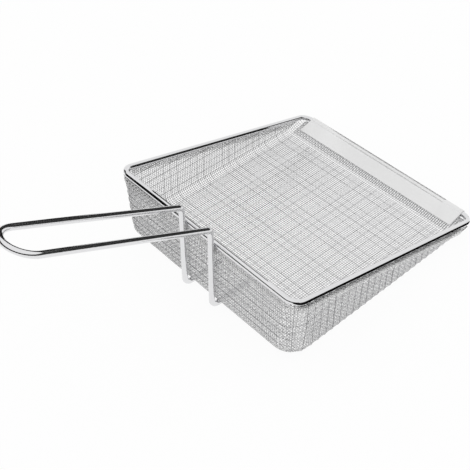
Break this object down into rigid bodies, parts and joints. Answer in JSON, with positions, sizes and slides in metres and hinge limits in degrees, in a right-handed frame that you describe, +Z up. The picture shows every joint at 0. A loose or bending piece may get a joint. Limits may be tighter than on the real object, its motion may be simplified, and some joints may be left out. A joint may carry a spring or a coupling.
{
  "type": "frying strainer scoop",
  "caption": "Wire-mesh frying scoop: a wedge basket in a sloping wire rim, a flat sheet lip at the low front and a looped wire handle.",
  "frame": {"origin": "middle of the overall bounding box, on the plane that the handle wire's two feet rest on", "axes": "+X from the handle towards the lip, +Y to the left seen from behind the handle, +Z up"},
  "size_m": [0.3812, 0.205, 0.164],
  "materials": {
    "chromed_wire": "bright chromed round steel wire",
    "chromed_handle_wire": "bright chromed round steel wire",
    "wire_cloth": "plated plain-weave wire cloth",
    "lip_sheet": "satin plated sheet"
  },
  "bodies": {
    "root": {"rim_wire": "chromed_wire", "handle_wire": "chromed_handle_wire", "mesh_basket": "wire_cloth", "lip": "lip_sheet"}
  },
  "joints": []
}
